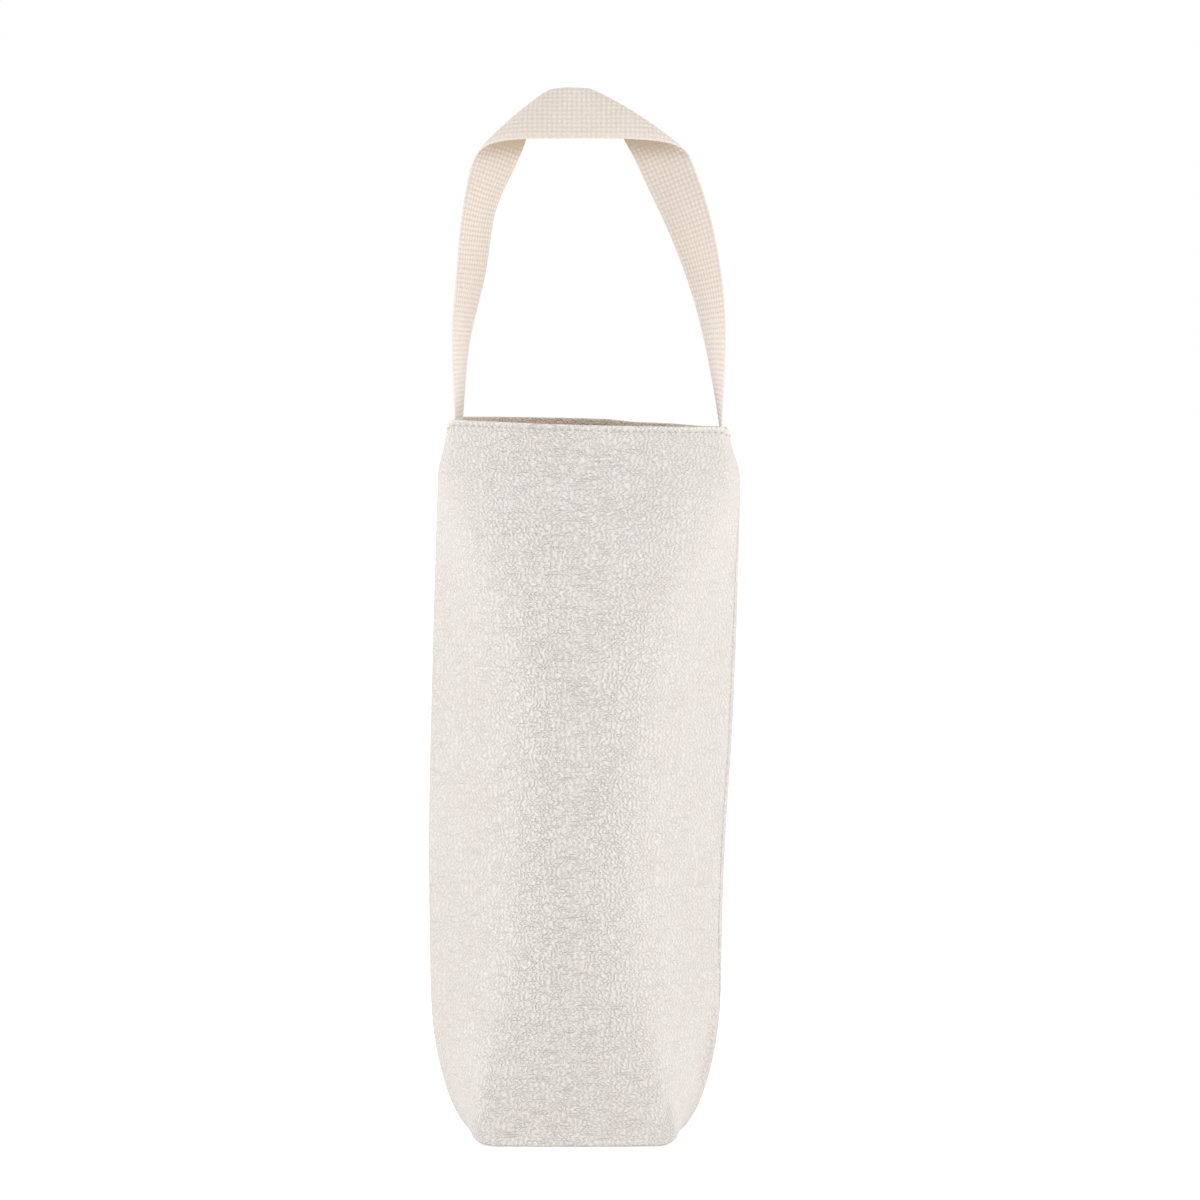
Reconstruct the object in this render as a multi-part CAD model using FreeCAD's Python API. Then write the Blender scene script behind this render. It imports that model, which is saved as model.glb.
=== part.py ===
import FreeCAD, Part
import math
import os
from FreeCAD import Vector

os.makedirs("parts", exist_ok=True)

# Bottle carrier: a canvas pouch with a boxed base and one webbing loop for a handle.
# Millimetres. X runs between the side seams, the front faces -Y and Z is up from the floor.

# Cut sizes of the cloth
flat_width = 170.0            # width of the pouch laid flat, seam to seam, half of its girth
gusset_depth = 79.0           # depth of the boxed base, from the length of the corner seams
body_height = 330.0           # floor to rim
cloth = 1.0                   # thickness of the canvas
hem_depth = 20.0              # height of the turned-in band at the rim
seam_allowance = 9.0          # cloth inside each seam

# How the filled pouch stands, as shares of the flat width and of the body height
belly_share = 0.407           # half span between the side seams at the widest height
mouth_share = 0.3695          # half span between the side seams at the rim
taper_share = 0.022           # how much narrower the half span is low down than at the belly
belly_height_share = 0.73     # height of the widest place
foot_height_share = 0.23      # height up to which the boxed corners draw the sides in
mouth_height_share = 0.09     # height below the rim in which the handle draws the sides in
curve_power = 2.5             # how late the sides curve in at the foot and at the mouth
rim_girth_share = 0.955       # girth of the rim, which the sewn handle gathers, over the cloth's girth
lean_share = 0.034            # how far the mouth stands to the right of the base
lean_from_share = 0.33        # height at which the lean begins
lean_to_share = 0.94          # height at which the lean is full

# Cross section, at the base, the belly and the rim: where the flat side ends and the bulge begins
corner_shares = (1.0, 0.44, 0.985)      # of the half span
depth_shares = (0.98, 0.75, 0.36)       # of the half depth
low_change_share = 0.34       # height by which the section has turned from the base's to the belly's
high_change_share = 0.6       # height at which it starts to turn to the rim's

# Heights of the sections, as shares of the wall below the hem, of the hem and of the sewn webbing
wall_shares = (0.0, 0.016, 0.043, 0.085, 0.14, 0.21, 0.32, 0.45, 0.585, 0.72, 0.83, 0.925, 1.0)
hem_shares = (0.0, 0.3, 0.55, 0.75, 0.87, 1.0)
sewn_shares = (1.0, 0.75, 0.5, 0.3, 0.15, 0.0)

# Webbing handle
webbing_width = 25.0
webbing_thickness = 2.0
handle_rise = 151.5           # rim to the top of the loop
sewn_length = 30.0            # webbing below the rim, sewn to the inside
joint_gap = 0.3               # on both sides of the stretch that bends, between the sewn end and the loop

# Thread
thread_width = 0.6
thread_height = 0.4
stitch_pitch = 3.3
stitch_share = 0.72           # length of a stitch over its pitch
overlock_width = 5.0
overlock_thickness = 0.5
tack_inset = 3.0              # from the edges of the webbing to its box of stitches
seat = 0.05                   # between a thread and the cloth under it
fit = 0.15                    # between the sewn webbing and the hem, and between its tack and the webbing

# Sizes that follow
base_half = (flat_width - gusset_depth) / 2
belly_half = flat_width * belly_share
mouth_half = flat_width * mouth_share
taper = flat_width * taper_share
hem_start = body_height - hem_depth
stitch_drop = hem_depth * (1 - hem_shares[-2])
lean = flat_width * lean_share
up = Vector(0, 0, 1)
mirror_plane = Vector(0, 1, 0)

# Edges of the webbing loop from the left root to the right one. Each line is one straight rule across
# the webbing: front edge (x, y, z), rear edge (x, y, z) and crown. x is a share of the half span of the
# mouth, y and the crown are shares of the webbing's width, and z is a share of the rise of the handle.
# The loop twists as it climbs, and its top is folded over to the front on two slanting rules.
rule_shares = (
    (-0.984, -0.485, 0.250, -0.850, 0.475, 0.250, 0.00),
    (-0.915, -0.350, 0.616, -0.681, 0.470, 0.640, 0.00),
    (-0.871, -0.250, 0.716, -0.579, 0.450, 0.737, 0.00),
    (-0.831, -0.134, 0.776, -0.463, 0.358, 0.828, 0.03),
    (-0.783, -0.104, 0.808, -0.346, 0.184, 0.934, 0.10),
    (-0.718, -0.210, 0.826, -0.273, 0.010, 0.985, 0.14),
    (-0.609, -0.352, 0.835, -0.230, -0.088, 0.994, 0.08),
    (-0.397, -0.470, 0.840, -0.186, -0.170, 0.998, 0.02),
    (-0.120, -0.480, 0.840, -0.135, -0.240, 1.000, 0.01),
    (0.171, -0.416, 0.840, -0.084, -0.224, 0.998, 0.02),
    (0.412, -0.284, 0.835, -0.026, -0.156, 0.992, 0.08),
    (0.579, -0.132, 0.825, 0.047, -0.028, 0.967, 0.15),
    (0.674, 0.006, 0.804, 0.135, 0.114, 0.900, 0.10),
    (0.740, 0.034, 0.761, 0.259, 0.246, 0.816, 0.03),
    (0.805, -0.080, 0.695, 0.390, 0.360, 0.719, 0.00),
    (0.878, -0.204, 0.601, 0.521, 0.404, 0.610, 0.00),
    (0.980, -0.480, 0.250, 0.824, 0.460, 0.250, 0.00),
)
last = len(rule_shares)       # the rules are numbered from 1, and the rims are at 0 and last + 1
root_steps = 4
loop_steps = 64


def smooth(share):
    share = min(1.0, max(0.0, share))
    return share * share * (3 - 2 * share)


def middle(z):
    # where the pouch's middle stands at a height; half of the lean lies on each side of the origin
    along = (z / body_height - lean_from_share) / (lean_to_share - lean_from_share)
    return lean * (smooth(along) - 1 / 2)


def pull(z):
    # how far the sewn handle has drawn the cloth in, 1 at the rim
    return max(0.0, 1 - (body_height - z) / (body_height * mouth_height_share)) ** curve_power


def half_span(z):
    # half the distance between the side seams
    foot = max(0.0, 1 - z / (body_height * foot_height_share)) ** curve_power
    low = max(0.0, 1 - z / (body_height * belly_height_share))
    drawn = (belly_half - taper - base_half) * foot + (belly_half - mouth_half) * pull(z)
    return belly_half - taper * low - drawn


def to_belly(z):
    # how far the section has turned from the base's to the belly's
    return 1 - max(0.0, 1 - z / (body_height * low_change_share)) ** curve_power


def to_rim(z):
    # how far the section has turned from the belly's to the rim's
    return smooth((z / body_height - high_change_share) / (1 - high_change_share))


def share_at(z, shares):
    base, belly, rim = shares
    return base + (belly - base) * to_belly(z) + (rim - belly) * to_rim(z)


def girth(span, corner, side, depth):
    # length of half a section: two flat sides and the arc between them
    bulge = depth - side
    radius = (corner ** 2 + bulge ** 2) / (2 * bulge)
    arc = 2 * radius * math.atan2(corner, radius - bulge)
    return 2 * math.hypot(span - corner, side) + arc


def section(z):
    # span, corner, side and depth of half a section; the depth is the one that the cloth's width allows
    span = half_span(z)
    corner = span * share_at(z, corner_shares)
    side_share = share_at(z, depth_shares)
    width = flat_width * (1 - (1 - rim_girth_share) * pull(z))
    low, high = 0.0, flat_width
    for step in range(50):
        depth = (low + high) / 2
        if girth(span, corner, depth * side_share, depth) < width:
            low = depth
        else:
            high = depth
    return span, corner, depth * side_share, depth


def outline(z, inset):
    # five points of the front half, a given distance inside the cloth's outer face
    span, corner, side, depth = section(z)
    length = math.hypot(span - corner, side)
    bulge = depth - side
    radius = (corner ** 2 + bulge ** 2) / (2 * bulge)
    flat = Vector(side / length, (span - corner) / length, 0)
    round_in = Vector(corner / radius, (radius - bulge) / radius, 0)
    mitre = (flat + round_in) * (inset / (1 + flat.dot(round_in)))
    seam = span - inset * length / side
    x, y = corner - mitre.x, side - mitre.y
    mid = middle(z)
    return (
        Vector(mid - seam, 0, z),
        Vector(mid - x, -y, z),
        Vector(mid, inset - depth, z),
        Vector(mid + x, -y, z),
        Vector(mid + seam, 0, z),
    )


def outline_edges(points):
    left, front_left, front, front_right, right = points
    return [
        Part.makeLine(left, front_left),
        Part.Arc(front_left, front, front_right).toShape(),
        Part.makeLine(front_right, right),
    ]


def band(z, outer, inner):
    # closed outline of the cloth of the front half at one height
    outside, inside = outline(z, outer), outline(z, inner)
    edges = outline_edges(outside)
    edges.append(Part.makeLine(outside[-1], inside[-1]))
    edges += outline_edges(inside)
    edges.append(Part.makeLine(inside[0], outside[0]))
    return Part.Wire(Part.__sortEdges__(edges))


def slab(low, high):
    return Part.makeBox(high.x - low.x, high.y - low.y, high.z - low.z, low)


def strip(sections):
    # solid through flat four-cornered sections
    wires = [Part.makePolygon(list(points) + [points[0]]) for points in sections]
    return Part.makeLoft(wires, True, False)


def seam_heights():
    # from above the folded corner seams to below the hem and the sewn webbing
    first = 4 * cloth
    final = body_height - max(hem_depth, sewn_length) - cloth
    return [first + (final - first) * share for share in wall_shares]


def seam_edge(z, side):
    # outer end of the side seam's allowance, in the middle of the cloth's thickness
    return outline(z, cloth / 2)[0 if side < 0 else -1].x


def wall():
    heights = [hem_start * share for share in wall_shares]
    return Part.makeLoft([band(z, 0, cloth) for z in heights], True, False)


def hem():
    heights = [hem_start + hem_depth * share for share in hem_shares]
    return Part.makeLoft([band(z, 0, 2 * cloth) for z in heights], True, False)


def half_base():
    points = outline(0, cloth / 2)
    edges = outline_edges(points) + [Part.makeLine(points[-1], points[0])]
    return Part.Face(Part.Wire(Part.__sortEdges__(edges))).extrude(up * cloth)


def side_allowance(side):
    sections = []
    for z in seam_heights():
        seam = seam_edge(z, side)
        inner = seam - side * seam_allowance
        ends = (Vector(seam, -cloth, z), Vector(inner, -cloth, z))
        sections.append((*ends, Vector(inner, 0, z), Vector(seam, 0, z)))
    return strip(sections)


def base_allowance():
    reach = base_half - seam_allowance - 3 * cloth
    return slab(Vector(middle(0) - reach, -cloth, 0), Vector(middle(0) + reach, 0, seam_allowance))


def corner_allowance(side):
    # two layers, folded flat on to the base
    inner = middle(0) + side * (base_half - seam_allowance)
    outer = middle(0) + side * (base_half - cloth / 2)
    back = section(0)[2] - cloth
    return slab(Vector(min(inner, outer), -back, cloth / 2), Vector(max(inner, outer), 0, 3 * cloth))


def panel():
    pieces = [hem(), half_base(), base_allowance()]
    for side in (-1, 1):
        pieces += [side_allowance(side), corner_allowance(side)]
    return wall().fuse(pieces).removeSplitter()


def hook(low, high, gap, reach, thick):
    # outline of an edging that wraps three sides of an allowance, in its own two axes
    near, far = reach, gap + thick
    return [(near, low - far), (-far, low - far), (-far, high + far), (near, high + far),
            (near, high + gap), (-gap, high + gap), (-gap, low - gap), (near, low - gap)]


def side_overlock(side):
    shape = hook(-cloth, cloth, seat, overlock_width, overlock_thickness)
    sections = []
    for z in seam_heights():
        inner = seam_edge(z, side) - side * seam_allowance
        sections.append([Vector(inner + side * across, y, z) for across, y in shape])
    return strip(sections)


def base_overlock():
    shape = hook(-cloth, cloth, seat, overlock_width, overlock_thickness)
    reach = base_half - seam_allowance - 3 * cloth
    ends = (middle(0) - reach, middle(0) + reach)
    return strip([[Vector(x, y, seam_allowance - across) for across, y in shape] for x in ends])


def corner_overlock(side):
    # an edging on the free edge of the two folded layers, over and in front of them
    inner = middle(0) + side * (base_half - seam_allowance)
    back = section(0)[2] - 2 * cloth
    low, high = cloth + seat, 3 * cloth + seat
    far, near = seat + overlock_thickness, overlock_width
    shape = [(near, high), (-seat, high), (-seat, low), (-far, low), (-far, high + overlock_thickness),
             (near, high + overlock_thickness)]
    return strip([[Vector(inner + side * x, y, z) for x, z in shape] for y in (-back, back)])


def bar(start, end, outward):
    # one stitch between two points, standing on the cloth
    along = (end - start).normalize()
    across = outward.cross(along).normalize()
    out = along.cross(across)
    box = Part.makeBox((end - start).Length, thread_width, thread_height)
    corner = start + out * seat - across * (thread_width / 2)
    turn = FreeCAD.Matrix(along.x, across.x, out.x, corner.x, along.y, across.y, out.y, corner.y,
                          along.z, across.z, out.z, corner.z, 0, 0, 0, 1)
    box.Placement = FreeCAD.Placement(turn)
    return box


def stitches(line, beside, way):
    # stitches of one pitch along a line on the cloth; a second line beside it gives the cloth's slope
    count = max(1, round(line.Length / stitch_pitch))
    points, others = line.discretize(count + 1), beside.discretize(count + 1)
    row = []
    for start, end, other in zip(points, points[1:], others):
        slack = (end - start) * ((1 - stitch_share) / 2)
        row.append(bar(start + slack, end - slack, (end - start).cross(other - start) * way))
    return row


def rim_row(inset, way):
    z = body_height - stitch_drop
    row = []
    for line, above in zip(outline_edges(outline(z, inset)), outline_edges(outline(z + thread_width, inset))):
        row += stitches(line, above, way)
    return row


def rim_stitching():
    # one row all round the outside, and the row behind it, which stops at the webbing
    clear = webbing_width / 2 + stitch_pitch
    front = rim_row(0, 1) + [one for one in rim_row(2 * cloth, -1) if -one.BoundBox.Center.y > clear]
    return Part.makeCompound(front + [one.mirror(Vector(), mirror_plane) for one in front])


def thread_run(line, across, out):
    # an unbroken seam thread along a line of points, standing on the cloth
    half = across * (thread_width / 2)
    low, high = out * seat, out * (seat + thread_height)
    return strip([(p - half + low, p + half + low, p + half + high, p - half + high) for p in line])


def side_stitching(side):
    # on both faces of the allowance, beside the edging
    inset = seam_allowance - overlock_width - thread_width
    line = [Vector(seam_edge(z, side) - side * inset, -cloth, z) for z in seam_heights()]
    run = thread_run(line, Vector(1, 0, 0), -mirror_plane)
    return Part.makeCompound([run, run.mirror(Vector(), mirror_plane)])


def base_stitching():
    reach = base_half - seam_allowance - 3 * cloth
    z = seam_allowance - overlock_width - thread_width
    line = [Vector(middle(0) + end * reach, -cloth, z) for end in (-1, 1)]
    run = thread_run(line, up, -mirror_plane)
    return Part.makeCompound([run, run.mirror(Vector(), mirror_plane)])


def corner_stitching(side):
    x = middle(0) + side * (base_half - seam_allowance + overlock_width + thread_width)
    back = section(0)[2] - 2 * cloth
    return thread_run([Vector(x, end * back, 3 * cloth) for end in (-1, 1)], Vector(1, 0, 0), up)


def sewn_face(z, side):
    # where the outer face of the sewn webbing lies, against the hem at the webbing's edges
    front, corner, seam = outline(z, 2 * cloth)[2:]
    reach = webbing_width / 2
    if reach < -corner.y:
        half = seam.x + (corner.x - seam.x) * reach / -corner.y - front.x
    else:
        bulge = corner.y - front.y
        radius = ((corner.x - front.x) ** 2 + bulge ** 2) / (2 * bulge)
        half = math.sqrt(radius ** 2 - (radius + front.y + reach) ** 2)
    return front.x + side * (half - fit)


def handle_end(side):
    sections = []
    for share in sewn_shares:
        z = body_height - sewn_length * share
        outer = sewn_face(z, side)
        inner = outer - side * webbing_thickness
        reach = webbing_width / 2
        sections.append((Vector(outer, -reach, z), Vector(inner, -reach, z), Vector(inner, reach, z),
                         Vector(outer, reach, z)))
    return strip(sections)


def edge_curve(front):
    # one edge of the webbing, rim to rim
    first = 0 if front else 3
    ends = []
    for side in (-1, 1):
        x = sewn_face(body_height, side) - side * webbing_thickness / 2
        ends.append(Vector(x, (-1 if front else 1) * webbing_width / 2, body_height))
    points = [ends[0]]
    for rule in rule_shares:
        x, y, z = rule[first:first + 3]
        x = middle(body_height) + mouth_half * x
        points.append(Vector(x, webbing_width * y, body_height + handle_rise * z))
    points.append(ends[1])
    curve = Part.BSplineCurve()
    curve.interpolate(Points=points, Parameters=list(range(len(points))))
    return curve


def crown_curve():
    heights = [0] + [rule[-1] * webbing_width for rule in rule_shares] + [0]
    curve = Part.BSplineCurve()
    places = [Vector(place, height, 0) for place, height in enumerate(heights)]
    curve.interpolate(Points=places, Parameters=list(range(len(places))))
    return curve


def webbing(start, end, steps):
    # the webbing between two places along its rules; its cross section lies level at the rim
    front, rear, crown = edge_curve(True), edge_curve(False), crown_curve()
    wires = []
    for step in range(steps + 1):
        place = start + (end - start) * step / steps
        a, b = front.value(place), rear.value(place)
        along = front.tangent(place)[0] + rear.tangent(place)[0]
        out = along.cross(b - a).normalize()
        out.z *= smooth(min(place, last + 1 - place))
        half = out.normalize() * (webbing_thickness / 2)
        mid = (a + b) / 2 + out * crown.value(place).y
        points = [a + half, mid + half, b + half, b - half, mid - half, a - half]
        wires.append(Part.makePolygon(points + [points[0]]))
    return Part.makeLoft(wires, True, True)


def tack(side):
    # a box of stitches with a slanting line across it, on the inside of the sewn webbing
    reach = webbing_width / 2 - tack_inset
    low, high = body_height - sewn_length + tack_inset, body_height - tack_inset

    def line(start, end, aside):
        # a line on the webbing's face, moved aside to the left of its direction
        along = Vector(0, end[0] - start[0], end[1] - start[1]).normalize()
        points = []
        for share in sewn_shares:
            y = end[0] + (start[0] - end[0]) * share - along.z * aside
            z = end[1] + (start[1] - end[1]) * share + along.y * aside
            points.append(Vector(sewn_face(z, side) - side * (webbing_thickness + fit), y, z))
        return Part.makePolygon(points)

    corners = [(-reach, low), (reach, low), (reach, high), (-reach, high)]
    row = []
    for start, end in list(zip(corners, corners[1:] + corners[:1])) + [(corners[0], corners[2])]:
        row += stitches(line(start, end, 0), line(start, end, thread_width), -side)
    return Part.makeCompound(row)


gap_share = joint_gap / (handle_rise * rule_shares[0][2])
front_panel = panel()
parts = {
    "front_panel": front_panel,
    "back_panel": front_panel.mirror(Vector(), mirror_plane),
    "rim_stitching": rim_stitching(),
    "base_overlock": base_overlock(),
    "base_stitching": base_stitching(),
    "handle_strap": webbing(1, last, loop_steps),
}
for name, side in (("left", -1), ("right", 1)):
    parts[name + "_side_overlock"] = side_overlock(side)
    parts[name + "_side_stitching"] = side_stitching(side)
    parts[name + "_corner_overlock"] = corner_overlock(side)
    parts[name + "_corner_stitching"] = corner_stitching(side)
    parts["handle_end_" + name] = handle_end(side)
    parts["handle_tack_" + name] = tack(side)
parts["handle_root_left"] = webbing(gap_share, 1 - gap_share, root_steps)
parts["handle_root_right"] = webbing(last + gap_share, last + 1 - gap_share, root_steps)

for name, shape in parts.items():
    shape.exportStep("parts/" + name + ".step")
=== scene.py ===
# %% [markdown]
# # A canvas bottle carrier, dressed in Blender
# The carrier is a tall pouch of undyed cotton canvas with a boxed base, and one loop of cotton webbing
# sewn inside its mouth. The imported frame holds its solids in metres, with X between the side seams, the
# front towards -Y and Z up from the floor. The first cell opens it and keeps its box for the size rule.

# %% Open the frame
import bpy
import numpy as np
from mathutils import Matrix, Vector


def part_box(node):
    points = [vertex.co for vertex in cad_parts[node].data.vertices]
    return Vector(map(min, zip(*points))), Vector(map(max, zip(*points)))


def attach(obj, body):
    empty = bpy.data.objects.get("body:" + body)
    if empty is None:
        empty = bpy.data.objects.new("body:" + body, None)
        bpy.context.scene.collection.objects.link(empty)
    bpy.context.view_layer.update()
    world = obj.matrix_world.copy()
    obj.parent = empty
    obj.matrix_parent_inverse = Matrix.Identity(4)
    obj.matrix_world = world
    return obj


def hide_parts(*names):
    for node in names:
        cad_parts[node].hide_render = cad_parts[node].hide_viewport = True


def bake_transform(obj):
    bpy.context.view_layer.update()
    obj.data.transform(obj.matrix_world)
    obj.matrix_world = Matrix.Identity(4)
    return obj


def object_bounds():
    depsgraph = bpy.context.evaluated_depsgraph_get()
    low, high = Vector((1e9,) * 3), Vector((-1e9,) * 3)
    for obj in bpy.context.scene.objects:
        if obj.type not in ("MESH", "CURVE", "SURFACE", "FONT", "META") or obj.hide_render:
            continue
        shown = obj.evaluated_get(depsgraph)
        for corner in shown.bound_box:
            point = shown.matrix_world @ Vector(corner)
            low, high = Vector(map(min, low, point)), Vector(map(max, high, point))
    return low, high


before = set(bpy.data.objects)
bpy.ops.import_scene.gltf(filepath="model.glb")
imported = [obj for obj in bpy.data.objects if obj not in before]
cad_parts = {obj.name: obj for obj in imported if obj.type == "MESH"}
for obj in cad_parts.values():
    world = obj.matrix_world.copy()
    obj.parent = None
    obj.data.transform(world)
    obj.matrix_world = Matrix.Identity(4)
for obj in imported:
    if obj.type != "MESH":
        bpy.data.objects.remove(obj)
cad_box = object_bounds()
rim = float(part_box("front_panel")[1][2])
print("frame box", cad_box, "rim at", rim)

# %% [markdown]
# ## The cut of the cloth
# Each panel was cut flat, so these are a tailor's sizes in metres: the width between the seams, the depth
# of the boxed base, the hem and the seam allowance. The standing pouch follows from them, because a strip
# of cloth keeps its length however it bends: where the side seams stand closer, the pouch must be deeper.

# %% Sizes of the cloth and the webbing
flat_width = 0.170
gusset_depth = 0.079
hem_depth = 0.020
allowance = 0.009
cloth = 0.0007
hem_roll = 0.0007
foot_roll = 0.0020
seam_fold = 0.0006
webbing_width = 0.025
webbing_thickness = 0.0017
handle_rise = 0.1515
sewn_length = 0.030
clearance = 0.0001
base_half = (flat_width - gusset_depth) / 2
belly_half = flat_width * 0.407
mouth_half = flat_width * 0.3755
taper = flat_width * 0.022
lean = flat_width * 0.034
print("base", 2 * base_half, "by", gusset_depth)

# %% [markdown]
# ## How the pouch changes with height
# The boxed base is square, the belly bulges most, and the handle draws the mouth in. A modeller could move
# rings by hand, but a few rules of the height keep all of it smooth: each is an eased step, or a power of
# the height that is left. Reaches and starts are shares of the rim's height, apart from the pull's.

# %% Rules by height
lean_start, lean_reach = 0.33, 0.61
pull_reach = 0.026
box_reach, box_power = 0.34, 2.5
shoulder = 0.6


def ease(share):
    """Smooth step: 0 below 0, 1 above 1, and three squares less two cubes between."""
    share = np.clip(share, 0, 1)
    return share * share * (3 - 2 * share)


def middle(z):
    """Where the pouch's middle stands: it leans to the right by an eased step between two heights."""
    return lean * (ease((z / rim - lean_start) / lean_reach) - 0.5)


def pull(z):
    """How far the sewn handle has drawn the mouth in, as an eased step that is 1 at the rim."""
    return 1 - ease((rim - z) / pull_reach)


def share_at(z, base, belly, mouth):
    """A share that goes from its base value to its belly value by a power, and on to its mouth value by an
    eased step that starts at the shoulder."""
    low = 1 - np.maximum(0, 1 - z / (rim * box_reach)) ** box_power
    return base + (belly - base) * low + (mouth - belly) * ease((z / rim - shoulder) / (1 - shoulder))


print("middle at base, half height and rim", middle(np.array([0, rim / 2, rim])).round(4))

# %% [markdown]
# ## The standing pouch as a formula
# A bottle would be lofted through rings, but a sewn pouch has seams at its sides, so half a cross section
# here is a flat stretch from the left seam, a round bulge and a flat stretch to the right seam. Its depth is
# found by halving an interval until the half section is as long as the cloth is wide.

# %% Cross section of the pouch at any height
# shares at the base, the belly and the mouth
corner_shares = (1.0, 0.44, 1.0)
side_shares = (0.98, 0.75, 0.40)
# reaches are shares of the rim's height, and heights are in metres
foot_reach, foot_power = 0.23, 2.5
overhang, overhang_height = 0.16, 0.004
taper_reach = 0.73
fold_height = 0.02
gather = 0.045
halvings = 40


def bulge_arc(corner, side, depth):
    """Radius and half angle of the arc through two corners and the deepest point between them."""
    height = np.maximum(depth - side, 1e-6)
    radius = (corner ** 2 + height ** 2) / (2 * height)
    return radius, np.arctan2(corner, radius - height)


def section(z):
    """Half span, corner, side depth and full depth of the half section, for an array of heights.

    At the foot the wall rolls out over the corner seams. A seam's fold stands a little outside its line, and
    the handle gathers some of the width at the rim."""
    foot = np.maximum(0, 1 - z / (rim * foot_reach)) ** foot_power
    foot = foot * (1 - overhang * (1 - np.exp(-z / overhang_height)))
    low = np.maximum(0, 1 - z / (rim * taper_reach))
    span = belly_half - taper * low - (belly_half - taper - base_half) * foot
    span = span - (belly_half - mouth_half) * pull(z) + seam_fold * ease(z / fold_height)
    corner = span * share_at(z, *corner_shares)
    side_share = share_at(z, *side_shares)
    width = flat_width * (1 - gather * pull(z))
    least, most = np.zeros_like(z), np.full_like(z, flat_width)
    for halving in range(halvings):
        depth = (least + most) / 2
        side = depth * side_share
        radius, angle = bulge_arc(corner, side, depth)
        short = 2 * np.hypot(span - corner, side) + 2 * radius * angle < width
        least, most = np.where(short, depth, least), np.where(short, most, depth)
    return span, corner, side, depth


levels = np.array([0.0, 0.1, 0.2, rim])
print("half spans", section(levels)[0].round(4), "depths", section(levels)[3].round(4))

# %% [markdown]
# ## A fine line along the cloth
# Real canvas has no sharp corners. A section is laid out on a fine line of steps along the cloth, from the
# raw edge of one seam allowance to the other, and a moving average rounds it. The average is a difference
# of running sums, so all heights are smoothed at once.

# %% The fine line and its helpers
step = 0.00025
along = np.arange(-allowance, flat_width + allowance + step / 2, step)
inside = (along >= -step / 2) & (along <= flat_width + step / 2)
from_seam = np.clip(np.minimum(along, flat_width - along), 0, None)


def soften(path, width, spacing=step):
    """Moving average of a path, three times over, with its ends carried on straight."""
    count = 2 * int(width / spacing / 2) + 1
    pad = count // 2
    for turn in range(3):
        before = 2 * path[:, :1] - path[:, pad:0:-1]
        after = 2 * path[:, -1:] - path[:, -2:-pad - 2:-1]
        sums = np.cumsum(np.concatenate([0 * path[:, :1], before, path, after], 1), 1)
        path = (sums[:, count:] - sums[:, :-count]) / count
    return path


def unit(vectors):
    """Vectors divided by their own lengths."""
    return vectors / np.linalg.norm(vectors, axis=-1, keepdims=True)


def length_along(line):
    """Running length of a line of points: the sum of the steps up to each point."""
    return np.concatenate([[0], np.cumsum(np.linalg.norm(np.diff(line, axis=0), axis=1))])


print("steps along the cloth", along.size)

# %% [markdown]
# ## Laying the cloth round the pouch
# Each half of the pouch is laid out along its section, with its two seam allowances turned inwards. On the
# real carrier the right seam has rolled a little to the front. Pushing its points over would stretch the
# cloth, so they slide along the section instead.

# %% The path before it is rounded
seam_gap = 0.00003
slide_most, slide_spread = 0.0025, 0.015
slide_low, slide_high, slide_ease = 0.04, 0.25, 0.06
trimmed, trim_foot, trim_hem, trim_ease = 0.12, 0.004, 0.008, 0.006


def slide(z):
    """How far the right seam has rolled to the front along the cloth, as an eased step up and down."""
    return slide_most * ease((z - slide_low) / slide_ease) * (1 - ease((z - slide_high) / slide_ease))


def sharp_path(z, way):
    """Path of one half at each height, before rounding: allowance, flat, arc, flat, allowance.

    On the flats the point moves straight from the seam to the corner. On the arc its angle grows evenly
    with the length of cloth. The right seam's slide is taken off the front half, where way is -1, and
    added to the back one, where it is 1. An allowance runs inwards from its seam, and is short at the
    foot and hem."""
    span, corner, side, depth = section(z)
    radius, angle = bulge_arc(corner, side, depth)
    flat = np.hypot(span - corner, side)
    total = 2 * flat + 2 * radius * angle
    place = np.clip(along[None] / flat_width, 0, 1) * total
    place = place + way * slide(z) * np.exp(-((total - place) / slide_spread) ** 2)
    end = np.minimum(place, total - place) / flat
    turn = (place - flat) / radius - angle
    right = np.sign(along[None] - flat_width / 2)
    on_flat = end < 1
    x = np.where(on_flat, right * (span - (span - corner) * np.abs(end)), radius * np.sin(turn))
    y = np.where(on_flat, -side * end, radius - depth - radius * np.cos(turn))
    reach = np.maximum(0, np.maximum(-along, along - flat_width))[None]
    kept = ease((z - trim_foot) / trim_ease) * ease((rim - hem_depth - trim_hem - z) / trim_ease)
    kept = trimmed + (1 - trimmed) * kept
    return np.stack([x - right * reach * kept, y - seam_gap], -1)


print("slide at half height", slide(rim / 2))

# %% [markdown]
# ## Bending the cloth
# The bends differ from place to place. At a seam the cloth turns in over about a millimetre, on the walls
# it bends over more than a centimetre, and the foot and the mouth lie between. So the same path is rounded
# at several widths, and eased steps choose between them.

# %% The rounded path
seam_bend, foot_bend, wall_bend, mouth_bend = 0.0018, 0.010, 0.014, 0.006
wall_start, wall_ease = 0.01, 0.06
mouth_start, mouth_ease = 0.05, 0.04
seam_zone, seam_ease = 0.0025, 0.008


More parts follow.
